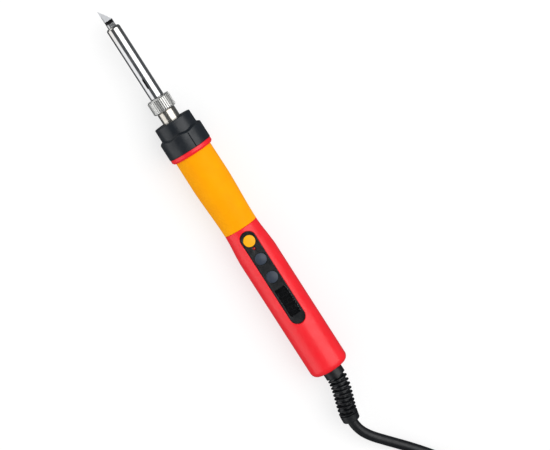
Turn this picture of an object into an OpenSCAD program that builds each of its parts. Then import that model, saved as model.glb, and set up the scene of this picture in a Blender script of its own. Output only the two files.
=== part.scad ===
// Temperature-controlled soldering iron with its mains lead, laid on a bench.
// +X runs from the bit to the lead, +Y to the side and +Z up, out of the control panel.
// "Station" means the distance along the iron from the point of the bit. Heights inside the
// iron are measured from its axis.

/* [Overall] */
// Length from the point of the bit to the rear face of the handle
overall_l = 234; // [233:0.5:236]
// Diameter of the collar, the widest round part
collar_d = 25.7; // [25.4:0.1:26.2]
// Diameter of the red flange behind the collar
flange_d = 25.3; // [24.8:0.1:25.4]

/* [Bit and barrel] */
// Diameter of the shank of the bit
shank_d = 4.8; // [4.4:0.1:4.9]
// Length of the knife face of the bit
face_l = 7.2; // [5:0.1:9]
// Angle between the two faces of the knife edge
edge_angle = 60; // [50:1:66]
// Outside diameter of the barrel
barrel_d = 8; // [7.8:0.05:8.1]
// Station where the barrel begins
barrel_at = 11.3; // [11:0.1:12]
// Outside diameter of the knurled nut
nut_d = 13.6; // [13:0.1:15]
// Station where the nut begins
nut_at = 56.5; // [56:0.1:57.5]
// Length of the nut
nut_l = 8; // [7.8:0.1:8.2]
// Number of ridges in the knurl
knurl_count = 36; // [24:1:48]
// Outside diameter of the plated pipe behind the nut
stub_d = 10.6; // [10.2:0.1:11]

/* [Handle] */
// Station of the front face of the collar
collar_at = 71; // [70.5:0.1:72]
// Width of the grooves along the collar
groove_w = 0.6; // [0.3:0.05:0.8]
// Diameter of the grip at its front end
grip_d = 22; // [21.6:0.1:22.4]
// Diameter of the handle where the grip ends
seam_d = 20.1; // [19.8:0.1:20.4]
// Width of the red handle
handle_w = 22.4; // [22.2:0.1:22.6]
// Radius of the edge round the rear face
rear_round = 3.5; // [2:0.1:4]

/* [Control panel] */
// Width of the black panel
panel_w = 9; // [8.9:0.1:9.4]
// Length of the black panel
panel_l = 59; // [57:1:60]
// Diameter of each button
button_d = 6.6; // [6.2:0.1:6.8]
// Travel of each button
button_travel = 0.4; // [0.2:0.05:0.4]

/* [Mains lead] */
// Diameter of the lead
cord_d = 5.8; // [5.6:0.05:5.8]
// Length of the straight runs of the hank
hank_run = 49.5; // [46:0.5:52]
// Diameter of the plug's pins
pin_d = 4; // [3.9:0.05:4.1]

/* [Hidden] */

$fn = 72;
eps = 0.01;
far = 60;                                // longer than any cut needs to be

// Frame: the iron lies on its collar and on the belly of its handle
axis_h = collar_d / 2;
tip_x = -overall_l / 2;

// Barrel, nut and threaded stub
barrel_r = barrel_d / 2;
barrel_wall = 0.5;
nose_round = 1.4;
slot_at = 43.5;
slot_l = 6.3;
slot_w = 1;
slot_turn = 22;
neck_relief = 0.25;                      // the barrel is thinner by this much under the nut
neck_at = nut_at - 0.6;
nut_lip = 1.5;
nut_rear = nut_at + nut_l;
lip_flange_r = 4.7;                      // flange on the rear end of the barrel
thread_r = 4.9;
thread_pitch = 1;
running_gap = 0.05;                      // radial clearance of the nut on the thread
flange_from = nut_at + nut_lip + 0.1;
flange_to = flange_from + 1.2;
stub_front = flange_to + 0.1;
stub_bore_r = 3.6;
stub_rear = 84;

// Bit and heater
bit_body_r = 3.3;
bit_body_from = 13.4;
bit_rear = 46;
heater_r = 2;
heater_gap = 0.15;
heater_front = 17;
heater_rear = 80;
heater_end = 85;

// Collar and shells
collar_neck_r = 10.95;
collar_rear = 89.4;
collar_step = 79.5;                      // middle of the step up to the shoulder
collar_step_l = 1.4;
groove_turn = 17;                        // from the top towards +Y
groove_depth = 0.35;
spigot_r = 9.9;
spigot_from = 85;
flange_end = 92.2;
seam_at = 140.6;
core_r = 8.6;
core_bore_r = 6.9;
cavity_r = 8.5;
cavity_from = 143.7;
cavity_to = overall_l - 4.5;
swell_l = 18;                            // the handle grows to its full width over this length
seam_r = seam_d / 2;
handle_r = handle_w / 2;
// The belly is round about a line below the axis: as wide as the handle there, and down to the bench
belly_drop = (axis_h * axis_h - handle_r * handle_r) / (2 * axis_h);
belly_r = axis_h - belly_drop;
belly_cavity_r = 8.6;

// Panel, buttons and what is under them
panel_at = 142.9;
panel_z = 8.5;                           // underside of the panel
panel_t = 1.2;
opening_w = 8;
power_at = 148.5;
led_at = 153.4;
up_at = 160.2;
down_at = 171.9;
window_at = 179.3;
window_l = 17;
window_w = 6.8;
button_r = button_d / 2;
button_gap = 0.12;
button_top = 10.4;
button_flange_r = 3.8;
plunger_z = 7.05;
board_z = 2;                             // top of the board
board_t = 1.6;
board_w = 15;
board_from = 144.9;
board_to = 205;
board_under = board_z - board_t;

// Screws and clamp
shell_screw_at = overall_l - 22;
shell_screw_y = 5.2;
clamp_at = overall_l - 12.5;
clamp_l = 5;
clamp_screw_y = 4.9;
clamp_w = 14;
clamp_low = 0.8;                         // underside of the clamp
clamp_high = 4.2;
clamp_sink = 2.6;                        // the screw heads sit this far above the axis
clamp_boss_r = 2.3;
shell_boss_r = 3.2;
well_depth = 9;                          // the wells of the shell screws end this far below the axis
screw_r = 1.2;
screw_hole_r = 1.25;
relief_flange_at = overall_l - 6.5;
relief_flange_r = 6.6;
relief_neck_r = 4.95;
lead_end_at = overall_l - 19;

// Electronics under and on the board
wire_r = 0.6;
heater_wire_pitch = 3;
mains_wire_pitch = 2.4;
switch_w = 6;
switch_top = 5.5;
stem_r = 1.7;
stem_from = 5;
module_low = 3.2;
module_w = 7.6;
module_pin_pitch = 3;
led_r = 0.78;
led_low = 6.6;
led_leg_r = 0.2;
chip_from = 159;
chip_l = 6;
chip_w = 4;
chip_t = 1.5;
chip_y = 3.8;
triac_from = 188;
triac_l = 15;
triac_w = 10;
triac_t = 4.6;
fuse_from = 156;
fuse_l = 20;
fuse_r = 2.6;
fuse_y = -4.2;
film_from = 177.5;
film_l = 9;
film_w = 5;
film_t = 7;
film_y = -3.2;
can_from = 172;
can_l = 12;
can_r = 3.1;
can_y = 3.6;

// Lead: points by hand, from the rear face of the handle to the hank
relief_points = 7;                       // the first points run inside the strain relief
lead_route = [
    [117, 0, 12.85], [123, 0, 12.85], [128, -0.8, 12.8], [133, -2.2, 12.6],
    [138, -3.8, 12.2], [143, -5.2, 11.6], [148, -5.9, 10.7], [153, -5.6, 9.6],
    [158, -4.1, 8.4], [163, -1.2, 7.1], [169, 3.5, 5.7], [175, 8.5, 4.6], [181, 13.5, 3.9],
    [187, 18.3, 3.6], [193, 22.7, 3.5], [199.5, 26.6, 3.5], [207.5, 28.9, 3.5]
];
relief_radii = [5.65, 5.65, 5.6, 5.55, 5.45, 5.3, 4.9];
// from the last fold of the hank, over the hank, to the plug
tail_route = [
    [218, -11.4, 20.9], [209.3, -9.1, 20.9], [202.9, -2.7, 20.9], [200.6, 6, 20.9],
    [202.9, 14.7, 20.9], [209.3, 21.1, 20.9], [218, 23.4, 20.9], [224.5, 22.3, 21.1],
    [231, 19.1, 21.8], [237.5, 14.7, 22.8], [244, 10.1, 23.9], [250.5, 7, 24.6], [257, 6, 24.8]
];
cord_r = cord_d / 2;
hank_from = 218;
hank_y = 6;
fold_r = 17.4;                           // radius of the inner turn, three diameters
hank_base = 0.6;                         // thickness of the tie below the hank
hank_h = 3 * cord_d;
hank_out_r = fold_r + 1.5 * cord_d;
tie_w = 12;
tie_t = 0.6;
tie_from = hank_from + (hank_run - tie_w) / 2;

// Plug, lying on the hank
plug_relief_l = 18;
plug_l = 35;
plug_w = 35.3;
plug_neck_w = 20;
plug_h = 13.6;
plug_z = 24.8;
plug_at = tail_route[len(tail_route) - 1].x;
pin_l = 19;
pin_pitch = 18.6;

// Moves a shape drawn along +X from the point of the bit to its place on the bench.
module on_axis() translate([tip_x, 0, axis_h]) children();

// Turned shape: the points are [radius, station].
module turned(points) rotate([0, 90, 0]) rotate_extrude() polygon(points);

// Rod along X between two stations.
module rod(r, from, to) translate([from, 0, 0]) rotate([0, 90, 0]) cylinder(r = r, h = to - from);

// Box between two stations, centred across, between two heights.
module block(from, to, w, low, high)
    translate([from, -w / 2, low]) cube([to - from, w, high - low]);

// Flat shape with round ends, from one station to another.
module round_ended(from, to, w) {
    translate([from + w / 2, 0]) circle(d = w);
    translate([to - w / 2, 0]) circle(d = w);
    translate([from + w / 2, -w / 2]) square([to - from - w, w]);
}

// A smooth step from 0 to 1.
function ease(t) = (1 - cos(180 * t)) / 2;

// Quarter arc of a profile, as [radius, station] points.
function arc(r, station, size, from, to, steps = 6) =
    [for (i = [0:steps]) let (a = from + (to - from) * i / steps)
        [r + size * cos(a), station + size * sin(a)]];

// Tube swept along points that lie near the floor, with a radius at each point.
module swept(points, radii, sides) {
    last = len(points) - 1;
    rings = [
        for (i = [0:last])
            let (
                d = points[min(i + 1, last)] - points[max(i - 1, 0)],
                along = d / norm(d),
                flat = [-along.y, along.x, 0],
                side = flat / norm(flat),
                up = cross(along, side)
            )
            for (k = [0:sides - 1])
                let (a = 360 * k / sides)
                points[i] + radii[i] * (side * cos(a) + up * sin(a))
    ];
    walls = [
        for (i = [0:last - 1])
            for (k = [0:sides - 1])
                let (n = (k + 1) % sides)
                [i * sides + k, (i + 1) * sides + k, (i + 1) * sides + n, i * sides + n]
    ];
    first_cap = [for (k = [0:sides - 1]) k];
    last_cap = [for (k = [sides - 1:-1:0]) last * sides + k];
    polyhedron(points = rings, faces = concat([first_cap, last_cap], walls), convexity = 10);
}

// ---------------------------------------------------------------- bit, barrel and heater

// Everything behind a slanting knife edge that runs from the point across the shank.
module knife_wedge() {
    slant = atan2(shank_d, face_l);
    half_w = far * tan(edge_angle / 2);
    translate([0, -shank_d / 2, 0])
        rotate([0, 0, slant])
            rotate([90, 0, 90])
                translate([0, 0, -far / 2])
                    linear_extrude(far)
                        polygon([[0, 0], [-far, -half_w], [-far, half_w]]);
}

module soldering_tip() color("silver") on_axis() difference() {
    union() {
        intersection() {
            rod(shank_d / 2, 0, bit_body_from);
            knife_wedge();
        }
        turned([
            [0, bit_body_from - eps], [shank_d / 2, bit_body_from - eps], [bit_body_r, bit_body_from + 0.8],
            [bit_body_r, bit_rear], [0, bit_rear]
        ]);
    }
    rod(heater_r + heater_gap, heater_front - 0.5, bit_rear + 1);
}

module tip_sleeve() color("lightsteelblue") on_axis() difference() {
    turned(concat(
        [[shank_d / 2 + 0.15, barrel_at]],
        arc(barrel_r - nose_round, barrel_at + nose_round, nose_round, -90, 0),
        [
            [barrel_r, neck_at], [barrel_r - neck_relief, neck_at], [barrel_r - neck_relief, flange_from],
            [lip_flange_r, flange_from], [lip_flange_r, flange_to],
            [barrel_r - barrel_wall, flange_to],
            [barrel_r - barrel_wall, bit_body_from + 0.5], [shank_d / 2 + 0.15, bit_body_from - 0.4]
        ]
    ));
    rotate([slot_turn, 0, 0])
        linear_extrude(far)
            round_ended(slot_at, slot_at + slot_l, slot_w);
}

module retaining_nut() color("gainsboro") on_axis() difference() {
    intersection() {
        turned([
            [0, nut_at], [nut_d / 2 - 0.6, nut_at], [nut_d / 2, nut_at + 0.6],
            [nut_d / 2, nut_rear - 0.6], [nut_d / 2 - 0.6, nut_rear], [0, nut_rear]
        ]);
        translate([nut_at - 1, 0, 0]) rotate([0, 90, 0]) linear_extrude(nut_l + 2) polygon([
            for (i = [0:knurl_count - 1], side = [0, 1])
                let (a = 360 * (i + side / 2) / knurl_count, r = nut_d / 2 + 0.05 - 0.35 * side)
                [r * cos(a), r * sin(a)]
        ]);
    }
    rod(barrel_r + 0.08, nut_at - 1, nut_rear);
    rod(thread_r + running_gap, nut_at + nut_lip, nut_rear + 1);
}

module mounting_stub() color("tan") on_axis() difference() {
    threads = floor((nut_rear - stub_front) / thread_pitch);
    turned(concat(
        [[stub_bore_r, stub_front], [thread_r - 0.4, stub_front]],
        [for (i = [0:threads - 1], step = [0.3, 0.5, 0.8]) [
            step == 0.8 ? thread_r - 0.4 : thread_r,
            stub_front + (i + step) * thread_pitch
        ]],
        [
            [thread_r - 0.4, nut_rear + 0.3], [stub_d / 2, nut_rear + 0.3], [stub_d / 2, stub_rear - 2],
            [spigot_r - 1.5, stub_rear - 2], [spigot_r - 1.5, stub_rear], [stub_bore_r, stub_rear]
        ]
    ));
}

module heater_core() color("white") on_axis() union() {
    turned([
        [0, heater_front], [heater_r - 0.5, heater_front], [heater_r, heater_front + 0.5],
        [heater_r, heater_end], [0, heater_end]
    ]);
    rod(stub_bore_r - 0.1, heater_rear - 6, heater_rear);
}

module heater_disc() color("burlywood") on_axis() difference() {
    rod(6, stub_rear + 0.2, stub_rear + 1.4);
    rod(heater_r + 0.05, stub_rear - 1, stub_rear + 3);
}

module heater_wires() color("firebrick") on_axis()
    for (i = [-1.5:1.5])
        translate([0, i * heater_wire_pitch, -0.2]) rod(wire_r, stub_rear + 1.4, board_from);

// ---------------------------------------------------------------- collar, grip and shells

module front_collar() color("#1d2226") on_axis() difference() {
    turned(concat(
        [
            [stub_d / 2 + 0.05, collar_at], [collar_neck_r - 0.5, collar_at],
            [collar_neck_r, collar_at + 0.5], [collar_neck_r + 0.1, collar_step - collar_step_l / 2]
        ],
        [for (i = [1:6]) [
            collar_neck_r + 0.1 + (collar_d / 2 - collar_neck_r - 0.1) * ease(i / 6),
            collar_step - collar_step_l / 2 + collar_step_l * i / 6
        ]],
        [
            [collar_d / 2, collar_rear - 0.4], [collar_d / 2 - 0.4, collar_rear],
            [spigot_r + 0.05, collar_rear], [spigot_r + 0.05, stub_rear - 2 - eps],
            [stub_d / 2 + 0.05, stub_rear - 2 - eps]
        ]
    ));
    for (turn = [groove_turn, groove_turn + 180])
        rotate([-turn, 0, 0])
            translate([collar_step + collar_step_l, -groove_w / 2, collar_d / 2 - groove_depth])
                cube([far, groove_w, far]);
}

module grip_sleeve() color("orange") on_axis() difference() {
    turned(concat(
        [[core_r + 0.02, flange_end], [grip_d / 2 - 0.4, flange_end], [grip_d / 2, flange_end + 0.4]],
        [[grip_d / 2 + 0.1, flange_end + 16]],
        [for (i = [1:6]) [
            grip_d / 2 + 0.1 - (grip_d / 2 + 0.1 - seam_r) * ease(i / 6),
            flange_end + 16 + (seam_at - flange_end - 16.3) * i / 6
        ]],
        [[seam_r - 0.3, seam_at], [core_r + 0.02, seam_at]]
    ));
}

// Radius of the round upper half of the handle, and of its belly, at a part t of the swell.
function round_r(t, full) = seam_r + (full - seam_r) * ease(t);
function belly_at(t) = seam_r - belly_drop + (belly_r - seam_r + belly_drop) * ease(t);

function rear_end(r) = arc(r - rear_round, overall_l - rear_round, rear_round, 0, 90);

// Spigot, flange, core under the grip and the swell behind it.
module front_outside(full) turned(concat(
    [
        [0, spigot_from], [spigot_r, spigot_from], [spigot_r, collar_rear + eps],
        [flange_d / 2, collar_rear + eps], [flange_d / 2, flange_end - 1],
        [flange_d / 2 - 0.6, flange_end], [core_r, flange_end], [core_r, seam_at]
    ],
    [for (i = [0:6]) [round_r(i / 6, full), seam_at + swell_l * i / 6]],
    [[0, seam_at + swell_l]]
));

// Upper half of the handle: round about the axis of the iron.
module upper_outside() {
    front_outside(handle_r);
    turned(concat(
        [[0, seam_at + swell_l - 1], [handle_r, seam_at + swell_l]],
        rear_end(handle_r),
        [[0, overall_l]]
    ));
}

// Lower half: behind the seam a belly, round about a lower line, takes over.
module lower_outside() {
    front_outside(handle_r - 0.1);
    translate([0, 0, -belly_drop]) turned(concat(
        [[0, seam_at]],
        [for (i = [0:6]) [belly_at(i / 6), seam_at + swell_l * i / 6]],
        rear_end(belly_r),
        [[0, overall_l]]
    ));
}

module front_room() {
    rod(core_bore_r, spigot_from - 1, cavity_from + 1);
    rod(relief_neck_r + 0.05, cavity_to - 1, overall_l + 1);
}

module top_shell() color("crimson") on_axis() difference() {
    intersection() {
        upper_outside();
        union() {
            difference() {
                block(0, overall_l + 1, far, 0, far);
                front_room();
                rod(cavity_r, cavity_from, cavity_to);
            }
            for (side = [-1, 1])
                translate([shell_screw_at, side * shell_screw_y, 0]) cylinder(r = shell_boss_r - 0.6, h = 9);
        }
    }
    translate([0, 0, panel_z]) linear_extrude(far) round_ended(panel_at, panel_at + panel_l, panel_w);
    linear_extrude(far) round_ended(panel_at + 0.5, panel_at + panel_l - 0.5, opening_w);
    for (side = [-1, 1])
        translate([shell_screw_at, side * shell_screw_y, -1]) cylinder(r = screw_hole_r, h = 6);
}

module bottom_shell() color("crimson") on_axis() difference() {
    intersection() {
        lower_outside();
        union() {
            difference() {
                block(0, overall_l + 1, far, -far, -eps);
                front_room();
                rod(cavity_r, cavity_from, cavity_from + 8);
                translate([0, 0, -belly_drop]) rod(belly_cavity_r, cavity_from + 7, cavity_to);
            }
            for (side = [-1, 1]) {
                translate([shell_screw_at, side * shell_screw_y, -11]) cylinder(r = shell_boss_r, h = 10.95);
                translate([clamp_at, side * clamp_screw_y, -11])
                    cylinder(r = clamp_boss_r, h = 11 + clamp_low);
            }
            block(clamp_at - clamp_l / 2, clamp_at + clamp_l / 2, 5, -11, 1 - cord_r);
        }
    }
    rod(cord_r + 0.03, clamp_at - clamp_l, clamp_at + clamp_l);
    for (side = [-1, 1]) {
        translate([shell_screw_at, side * shell_screw_y, -far]) cylinder(r = 2.5, h = far - well_depth);
        translate([shell_screw_at, side * shell_screw_y, -10]) cylinder(r = screw_hole_r + 0.15, h = 11);
        translate([clamp_at, side * clamp_screw_y, -5]) cylinder(r = screw_hole_r, h = 7);
    }
}

// ---------------------------------------------------------------- panel and electronics

module control_panel() color("#15181a") on_axis() difference() {
    translate([0, 0, panel_z]) linear_extrude(panel_t)
        round_ended(panel_at + 0.05, panel_at + panel_l - 0.05, panel_w - 0.1);
    for (at = [power_at, up_at, down_at])
        translate([at, 0, 0]) cylinder(r = button_r + button_gap, h = far);
    translate([led_at, 0, 0]) cylinder(r = led_r + 0.07, h = far);
    block(window_at, window_at + window_l, window_w, 0, far);
}

module display_window() color("dimgray", 0.6) on_axis()
    block(
        window_at + 0.05, window_at + window_l - 0.05, window_w - 0.1,
        panel_z, panel_z + panel_t - 0.1
    );

module display_module() color("darkslategray") on_axis() {
    block(window_at - 1, window_at + window_l + 1, module_w, module_low, panel_z - 0.1);
    for (at = [window_at + 1:module_pin_pitch:window_at + window_l], side = [-1, 1])
        translate([at, side * 3, board_z]) cylinder(d = 0.6, h = module_low - board_z + 0.1);
}

// Push button: cap, retaining flange and plunger.
module button(at) translate([at, 0, 0]) rotate_extrude() polygon([
    [0, plunger_z], [1.5, plunger_z], [1.5, 7.5], [button_flange_r, 7.5], [button_flange_r, panel_z - 0.1],
    [button_r, panel_z - 0.1], [button_r, button_top - 0.4], [button_r - 0.12, button_top - 0.12],
    [button_r - 0.4, button_top], [0, button_top]
]);

module power_button() color("gold") on_axis() button(power_at);

module up_button() color("slategray") on_axis() button(up_at);

module down_button() color("slategray") on_axis() button(down_at);

module indicator_led() color("red") on_axis() translate([led_at, 0, 0]) {
    rotate_extrude() polygon([
        [0, led_low], [led_r, led_low], [led_r, 9.6], [led_r - 0.28, 9.85], [0, 9.95]
    ]);
    for (side = [-1, 1])
        translate([0, side * 0.5, board_z])
            cylinder(r = led_leg_r, h = led_low - board_z + 0.1, $fn = 16);
}

module button_switches() color("dimgray") on_axis()
    for (at = [power_at, up_at, down_at]) translate([at, 0, 0]) {
        block(-switch_w / 2, switch_w / 2, switch_w, board_z, switch_top);
        translate([0, 0, stem_from])
            cylinder(r = stem_r, h = plunger_z - button_travel - 0.05 - stem_from);
    }

module circuit_board() color("darkgreen") on_axis()
    block(board_from, board_to, board_w, board_under, board_z);

module controller_chip() color("#202020") on_axis()
    translate([0, chip_y, 0]) block(chip_from, chip_from + chip_l, chip_w, board_under - chip_t, board_under);

module power_triac() color("#303030") on_axis()
    block(triac_from, triac_from + triac_l, triac_w, board_under - triac_t, board_under);

module fuse() color("lightyellow") on_axis()
    translate([0, fuse_y, board_under - fuse_r]) rod(fuse_r, fuse_from, fuse_from + fuse_l);

module film_capacitor() color("goldenrod") on_axis()
    translate([0, film_y, 0]) block(film_from, film_from + film_l, film_w, board_under - film_t, board_under);

module smoothing_capacitor() color("midnightblue") on_axis()
    translate([0, can_y, board_under - can_r]) rod(can_r, can_from, can_from + can_l);

module mains_wires() color("steelblue") on_axis()
    for (side = [-0.5, 0.5])
        translate([0, side * mains_wire_pitch, -0.25]) rod(wire_r, triac_from + triac_l + 0.2, lead_end_at);

module lead_end() color("#1b1b1b") on_axis() rod(cord_r, lead_end_at, relief_flange_at);

module cord_clamp() color("dimgray") on_axis() difference() {
    block(clamp_at - clamp_l / 2, clamp_at + clamp_l / 2, clamp_w, clamp_low, clamp_high);
    rod(cord_r + 0.03, clamp_at - clamp_l, clamp_at + clamp_l);
    for (side = [-1, 1]) translate([clamp_at, side * clamp_screw_y, 0]) {
        cylinder(r = screw_r + 0.1, h = far);
        translate([0, 0, clamp_sink]) cylinder(r = 2.1, h = far);
    }
}

module clamp_screws() color("silver") on_axis()
    for (side = [-1, 1]) translate([clamp_at, side * clamp_screw_y, 0]) {
        translate([0, 0, -4.5]) cylinder(r = screw_r, h = 7.6);
        translate([0, 0, clamp_sink + 0.02]) cylinder(r = 2, h = 1.4);
    }

module shell_screws() color("silver") on_axis()
    for (side = [-1, 1]) translate([shell_screw_at, side * shell_screw_y, 0]) {
        translate([0, 0, -well_depth - 1.6]) cylinder(r = 2.25, h = 1.58);
        translate([0, 0, -well_depth - 0.5]) cylinder(r = screw_r, h = well_depth + 4.5);
    }

// ---------------------------------------------------------------- lead and plug

module strain_relief() color("#22262a") {
    on_axis() {
        rod(relief_flange_r, relief_flange_at, cavity_to - 0.02);
        rod(relief_neck_r, relief_flange_at, overall_l + 0.2);
    }
    swept([for (i = [0:relief_points - 1]) lead_route[i]], relief_radii, 16);
}

module cord_lead() color("#1b1b1b") {
    points = [for (i = [relief_points - 1:len(lead_route) - 1]) lead_route[i]];
    swept(points, [for (p = points) cord_r], 10);
}

module hank_outline(r) {
    for (x = [hank_from, hank_from + hank_run]) translate([x, hank_y]) circle(r = r);
    translate([hank_from, hank_y - r]) square([hank_run, 2 * r]);
}

module cord_hank() color("#1b1b1b") difference() {
    linear_extrude(hank_base + hank_h) difference() {
        hank_outline(hank_out_r);
        hank_outline(fold_r - cord_r);
    }
    translate([tie_from - 0.1, -far, -1]) cube([tie_w + 0.2, 2 * far, 1 + hank_base]);
}

module cord_tie() color("dimgray") translate([tie_from, hank_y, 0]) difference() {
    translate([0, -hank_out_r - tie_t, 0])
        cube([tie_w, 2 * (hank_out_r + tie_t), hank_h + hank_base + tie_t]);
    translate([-1, -hank_out_r, hank_base]) cube([tie_w + 2, 2 * hank_out_r, hank_h]);
}

module cord_tail() color("#1b1b1b") swept(tail_route, [for (p = tail_route) cord_r], 10);

// One side of the plug's outline, from its neck to its face.
function plug_side(side) = [
    [0, side * (plug_neck_w / 2 - 3)], [2, side * plug_neck_w / 2],
    [plug_l - 12, side * (plug_w / 2 - 1)], [plug_l - 9, side * plug_w / 2],
    [plug_l - 1, side * plug_w / 2], [plug_l, side * (plug_w / 2 - 1)]
];

module plug_body() color("#202326") translate([plug_at, hank_y, plug_z]) {
    other = plug_side(1);
    rotate([0, 90, 0]) cylinder(r1 = 3.6, r2 = 5.4, h = plug_relief_l);
    translate([plug_relief_l, 0, -plug_h / 2])
        linear_extrude(plug_h)
            polygon(concat(plug_side(-1), [for (i = [len(other) - 1:-1:0]) other[i]]));
}

module plug_pins() color("gold")
    for (side = [-1, 1])
        translate([plug_at + plug_relief_l + plug_l, hank_y + side * pin_pitch / 2, plug_z])
            rotate([0, 90, 0]) rotate_extrude() polygon(concat(
                [[0, 0], [pin_d / 2, 0]], arc(pin_d / 2 - 1, pin_l - 1, 1, 0, 90), [[0, pin_l]]
            ));

soldering_tip();
tip_sleeve();
retaining_nut();
mounting_stub();
heater_core();
heater_disc();
heater_wires();
front_collar();
grip_sleeve();
top_shell();
bottom_shell();
control_panel();
display_window();
display_module();
power_button();
up_button();
down_button();
indicator_led();
button_switches();
circuit_board();
controller_chip();
power_triac();
fuse();
film_capacitor();
smoothing_capacitor();
mains_wires();
lead_end();
cord_clamp();
clamp_screws();
shell_screws();
strain_relief();
cord_lead();
cord_hank();
cord_tie();
cord_tail();
plug_body();
plug_pins();
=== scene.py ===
import math

import bmesh
import bpy
from mathutils import Matrix, Vector


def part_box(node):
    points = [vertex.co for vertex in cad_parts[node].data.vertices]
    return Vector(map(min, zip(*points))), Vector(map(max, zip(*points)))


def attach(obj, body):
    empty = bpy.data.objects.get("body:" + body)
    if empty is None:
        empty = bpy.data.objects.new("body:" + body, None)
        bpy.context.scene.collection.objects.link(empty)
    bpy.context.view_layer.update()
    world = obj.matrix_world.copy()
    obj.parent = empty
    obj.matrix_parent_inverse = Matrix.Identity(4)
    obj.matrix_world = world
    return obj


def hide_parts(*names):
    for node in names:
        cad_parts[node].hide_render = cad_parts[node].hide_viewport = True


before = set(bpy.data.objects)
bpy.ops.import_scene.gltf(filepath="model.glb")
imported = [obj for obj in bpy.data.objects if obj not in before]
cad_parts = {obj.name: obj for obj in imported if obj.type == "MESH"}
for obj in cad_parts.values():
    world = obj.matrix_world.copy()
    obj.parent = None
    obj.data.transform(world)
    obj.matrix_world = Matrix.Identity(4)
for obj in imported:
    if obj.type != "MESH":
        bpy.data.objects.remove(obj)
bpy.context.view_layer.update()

MM = 0.001


# ------------------------------------------------------------------ the frame
# Sizes are in millimetres. A station is the distance along the iron from the point of the bit,
# and y and z are measured from the axis of the iron.
TIP_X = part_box("soldering_tip")[0].x
AXIS_Z = sum(corner.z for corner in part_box("tip_sleeve")) / 2


def at(station, y=0.0, z=0.0):
    """A place on the iron, in metres in the shared frame."""
    return Vector((TIP_X + station * MM, y * MM, AXIS_Z + z * MM))


def bench(point):
    """A place on the bench, given in millimetres in the shared frame."""
    return Vector(point) * MM


def box_of(node):
    """Two corners of a node's box, each as station, y and z in millimetres."""
    return [((p.x - TIP_X) / MM, p.y / MM, (p.z - AXIS_Z) / MM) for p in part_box(node)]


def extent(node):
    """First station, last station and largest radius of a round node."""
    low, high = box_of(node)
    return low[0], high[0], (high[1] - low[1]) / 2


BARREL_FROM, BARREL_TO, BARREL_FLANGE_R = extent("tip_sleeve")
NUT_FROM, NUT_TO, NUT_R = extent("retaining_nut")
STUB_FROM, STUB_TO, _ = extent("mounting_stub")
COLLAR_FROM, COLLAR_TO, COLLAR_R = extent("front_collar")
GRIP_FROM, GRIP_TO, GRIP_R = extent("grip_sleeve")
_, HANDLE_TO, FLANGE_R = extent("top_shell")

BARREL_R = 4.0
SHANK_R = 2.4
STUB_R = 5.3
SEAM_R = 10.05
HANDLE_R = 11.2
SWELL = 18.0
REAR_ROUND = 3.5
SPIGOT_R = 9.9
CORE_R = 8.6
CORE_BORE_R = 6.95
LEAD_HOLE_R = 5.0
SCREW_AT = HANDLE_TO - 22
SCREW_Y = 5.2
BELLY_DROP = (AXIS_Z / MM - HANDLE_R ** 2 / (AXIS_Z / MM)) / 2
BELLY_R = AXIS_Z / MM - BELLY_DROP

PANEL_FROM = 142.9
PANEL_TO = 201.9
PANEL_W = 9.0
PANEL_TOP = 9.7
PANEL_T = 1.2
BUTTONS = {"power_button": 148.5, "up_button": 160.2, "down_button": 171.9}
BUTTON_R = 3.3
LED_AT = 153.4
LED_R = 0.78

CORD_D = 5.8


def placed(name, data):
    """A new object in the scene."""
    thing = bpy.data.objects.new(name, data)
    bpy.context.scene.collection.objects.link(thing)
    return thing


def mesh_of(name, points, faces):
    mesh = bpy.data.meshes.new(name)
    mesh.from_pydata([tuple(p) for p in points], [], faces)
    return mesh


# ------------------------------------------------------------------ camera, lights and floor

def make_camera():
    """From above and a little in front of the iron, which lies across the picture on a slant."""
    turn, lean = math.radians(57.4), math.radians(7.1)
    middle = Vector((0.0329, 0.0165, AXIS_Z))
    view_width = 0.3015
    lens = 150
    data = bpy.data.cameras.new("camera")
    data.sensor_width = 36
    data.lens = lens
    camera = placed("camera", data)
    facing = Matrix.Rotation(-lean, 3, "Y") @ Matrix.Rotation(turn, 3, "Z")
    camera.location = middle + facing @ Vector((0, 0, view_width * lens / data.sensor_width))
    camera.rotation_euler = facing.to_euler()
    bpy.context.scene.camera = camera


def make_sun(name, toward, strength, spread):
    """A soft light from far away. Its angles from straight up are towards +Y and towards +X."""
    data = bpy.data.lights.new(name, "SUN")
    data.energy = strength
    data.angle = math.radians(spread)
    light = placed(name, data)
    across, along = toward
    direction = Vector((math.tan(math.radians(along)), math.tan(math.radians(across)), 1))
    light.rotation_euler = direction.to_track_quat("Z", "Y").to_euler()


def make_world():
    """White behind everything, a soft even light, and a dark room in reflections."""
    world = bpy.data.worlds.new("studio")
    bpy.context.scene.world = world
    world.use_nodes = True
    nodes, links = world.node_tree.nodes, world.node_tree.links
    nodes.clear()

    def background(color, strength):
        node = nodes.new("ShaderNodeBackground")
        node.inputs["Color"].default_value = (*color, 1)
        node.inputs["Strength"].default_value = strength
        return node.outputs["Background"]

    path = nodes.new("ShaderNodeLightPath")
    shader = background((1, 1, 1), 0.55)
    for ray, other in (("Is Glossy Ray", background((0.88, 0.94, 1), 0.105)),
                       ("Is Camera Ray", background((1, 1, 1), 1.0))):
        mix = nodes.new("ShaderNodeMixShader")
        links.new(path.outputs[ray], mix.inputs["Fac"])
        links.new(shader, mix.inputs[1])
        links.new(other, mix.inputs[2])
        shader = mix.outputs["Shader"]
    output = nodes.new("ShaderNodeOutputWorld")
    links.new(shader, output.inputs["Surface"])


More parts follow.
